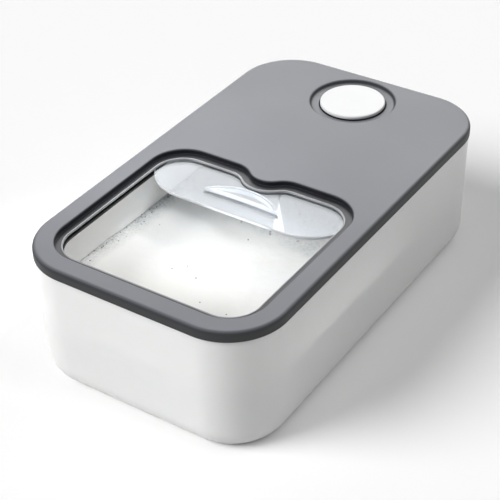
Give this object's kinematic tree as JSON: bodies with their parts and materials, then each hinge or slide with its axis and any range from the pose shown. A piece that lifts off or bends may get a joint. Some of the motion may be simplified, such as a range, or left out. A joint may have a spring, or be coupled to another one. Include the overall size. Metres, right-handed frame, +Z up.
{
  "type": "laundry powder container",
  "caption": "Low rectangular powder bin with rounded corners, a lift-off lid with a clear sliding door in a window, and a round push-button vent in a finger dish.",
  "frame": {"origin": "centre of the bin's flat underside, on the table", "axes": "+Z up, +Y along the length from the window end towards the button end, +X across the width"},
  "size_m": [0.2, 0.343, 0.104],
  "materials": {
    "bin_plastic": "white polypropylene, softly glossy",
    "powder": "dry white powder with a few blue-grey grains",
    "lid_plastic": "mid grey, satin",
    "dark_plastic": "near black, satin",
    "clear_plastic": "clear, polished",
    "pale_silicone": "pale grey silicone",
    "dark_rubber": "black soft rubber",
    "button_plastic": "white, softly glossy",
    "screw_steel": "zinc plated"
  },
  "bodies": {
    "bin": {"bin": "bin_plastic", "powder_fill": "powder"},
    "lid": {"lid_cover": "lid_plastic", "lid_seal": "pale_silicone", "window_seal": "pale_silicone", "door_track": "dark_plastic", "track_screws": "screw_steel", "door_stops": "dark_rubber", "button_base": "lid_plastic", "base_screws": "screw_steel", "button_spring": "screw_steel"},
    "door": {"sliding_door": "clear_plastic"},
    "button": {"button_cap": "button_plastic", "button_seal": "dark_rubber", "button_stem": "button_plastic", "valve_disc": "pale_silicone", "stem_clip": "screw_steel"}
  },
  "joints": [
    {"name": "lid_lift", "type": "slide", "parent": "bin", "child": "lid", "axis": [0, 0, 1], "range_m": [0, 0.12]},
    {"name": "door_slide", "type": "slide", "parent": "lid", "child": "door", "axis": [0, -1, 0], "range_m": [0, 0.107]},
    {"name": "button_press", "type": "slide", "parent": "lid", "child": "button", "axis": [0, 0, -1], "range_m": [0, 0.0025], "stiffness_N_per_m": 500, "springref_m": -0.002, "deforming": ["button_spring"]}
  ]
}
